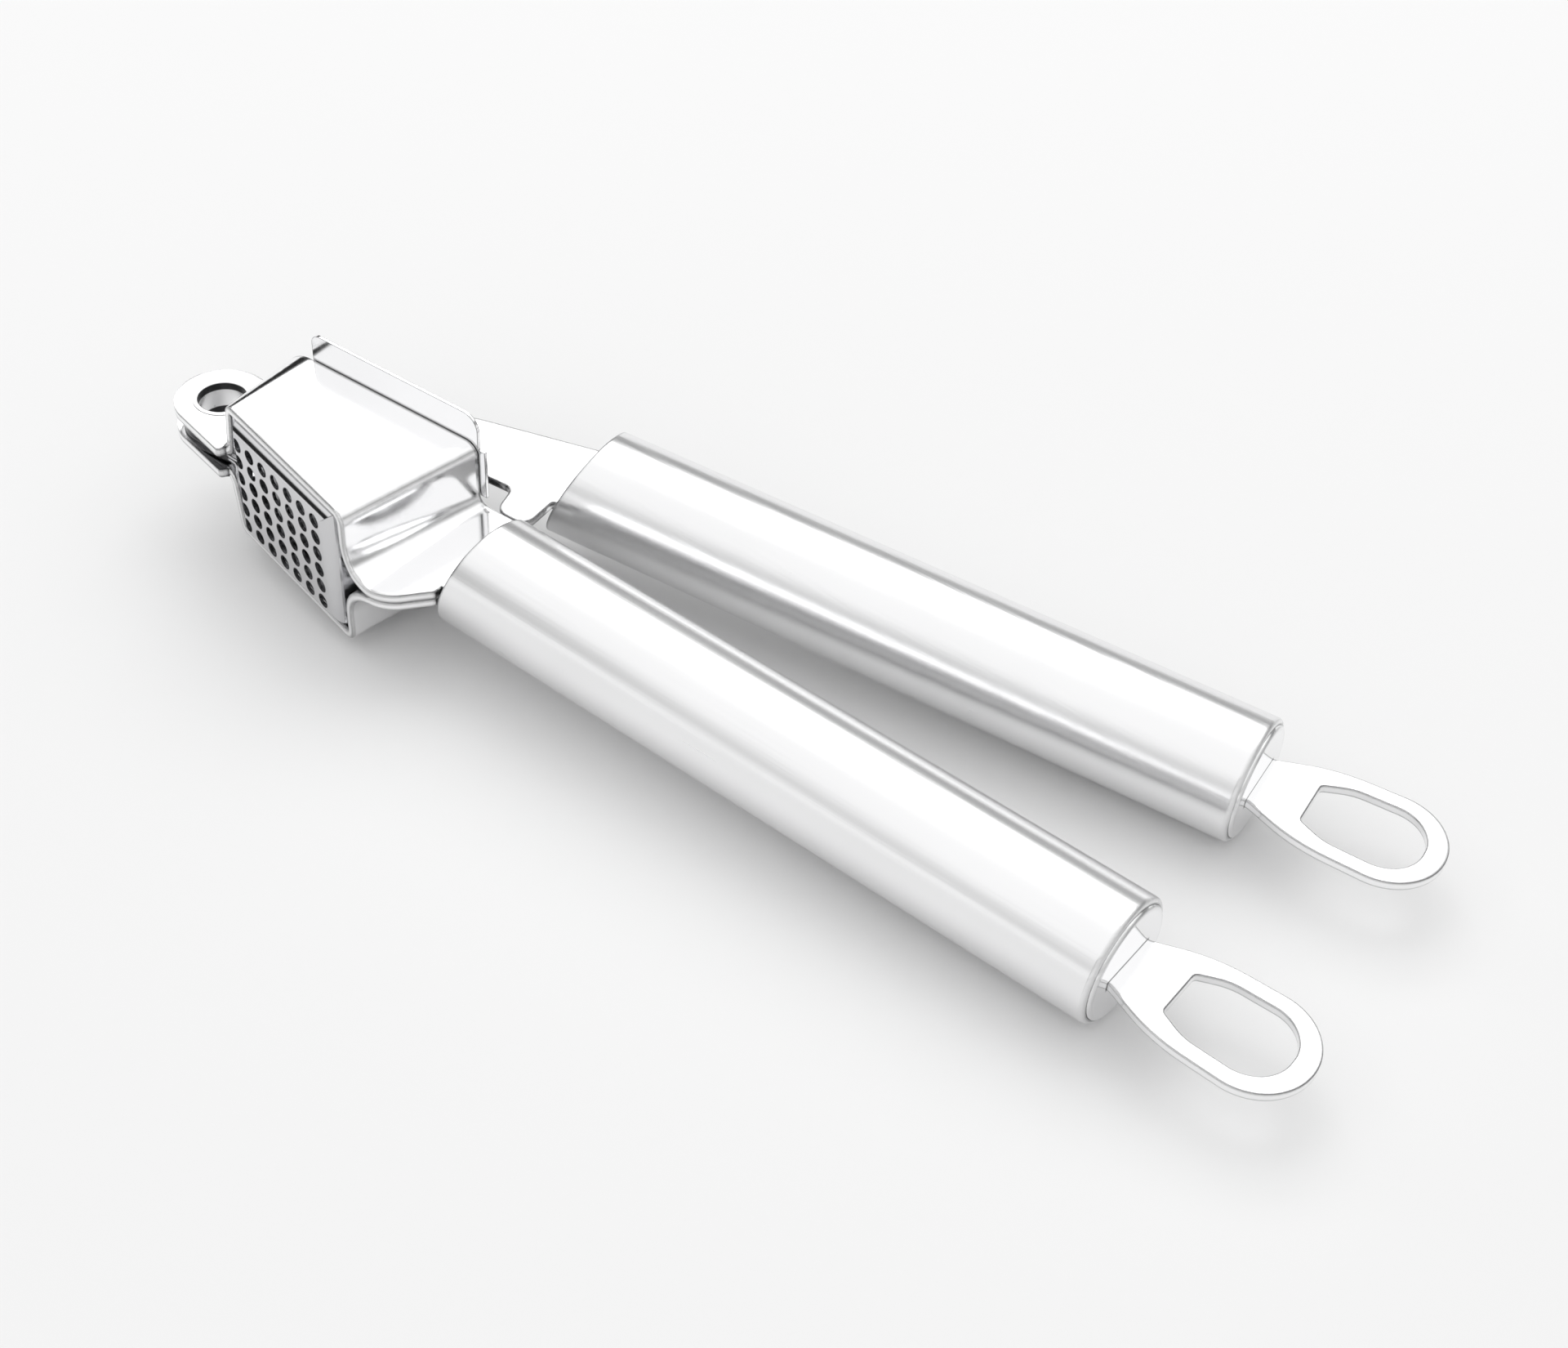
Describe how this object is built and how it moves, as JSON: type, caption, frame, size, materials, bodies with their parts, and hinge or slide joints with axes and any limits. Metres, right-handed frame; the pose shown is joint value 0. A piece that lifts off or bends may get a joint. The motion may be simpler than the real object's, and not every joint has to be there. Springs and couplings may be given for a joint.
{
  "type": "garlic press",
  "caption": "Two tubular steel handles hinged at a hollow rivet, a pressed-sheet frame, a swing-out perforated strainer and a plunger that pushes into it.",
  "frame": {"origin": "centre of the hollow rivet that joins the two handles, on the mid-plane between the two frame shells", "axes": "+X along the frame handle towards its hanging loop, +Y towards the plunger handle, +Z along the rivet's axis"},
  "size_m": [0.1963, 0.0627, 0.0334],
  "materials": {
    "frame_steel": "polished",
    "tube_steel": "satin",
    "cap_steel": "polished",
    "strainer_steel": "polished",
    "rivet_steel": "polished"
  },
  "bodies": {
    "frame_handle": {"upper_frame_shell": "frame_steel", "lower_frame_shell": "frame_steel", "frame_handle_tube": "tube_steel", "frame_head_cap": "cap_steel", "frame_end_cap": "cap_steel", "frame_hanging_loop": "cap_steel", "pivot_eyelet": "rivet_steel"},
    "strainer": {"strainer_basket": "strainer_steel"},
    "plunger_handle": {"plunger_arm": "frame_steel", "plunger_shoe": "strainer_steel", "upper_plunger_bracket": "strainer_steel", "lower_plunger_bracket": "strainer_steel", "plunger_rivets": "rivet_steel", "plunger_handle_tube": "tube_steel", "plunger_head_cap": "cap_steel", "plunger_end_cap": "cap_steel", "plunger_hanging_loop": "cap_steel"}
  },
  "joints": [
    {"name": "strainer_swing", "type": "hinge", "parent": "frame_handle", "child": "strainer", "pos_m": [0, 0, 0], "axis": [0, 0, 1], "range_deg": [0, 60]},
    {"name": "handle_hinge", "type": "hinge", "parent": "strainer", "child": "plunger_handle", "pos_m": [0, 0, 0], "axis": [0, 0, 1], "range_deg": [-6.85, 90]}
  ]
}
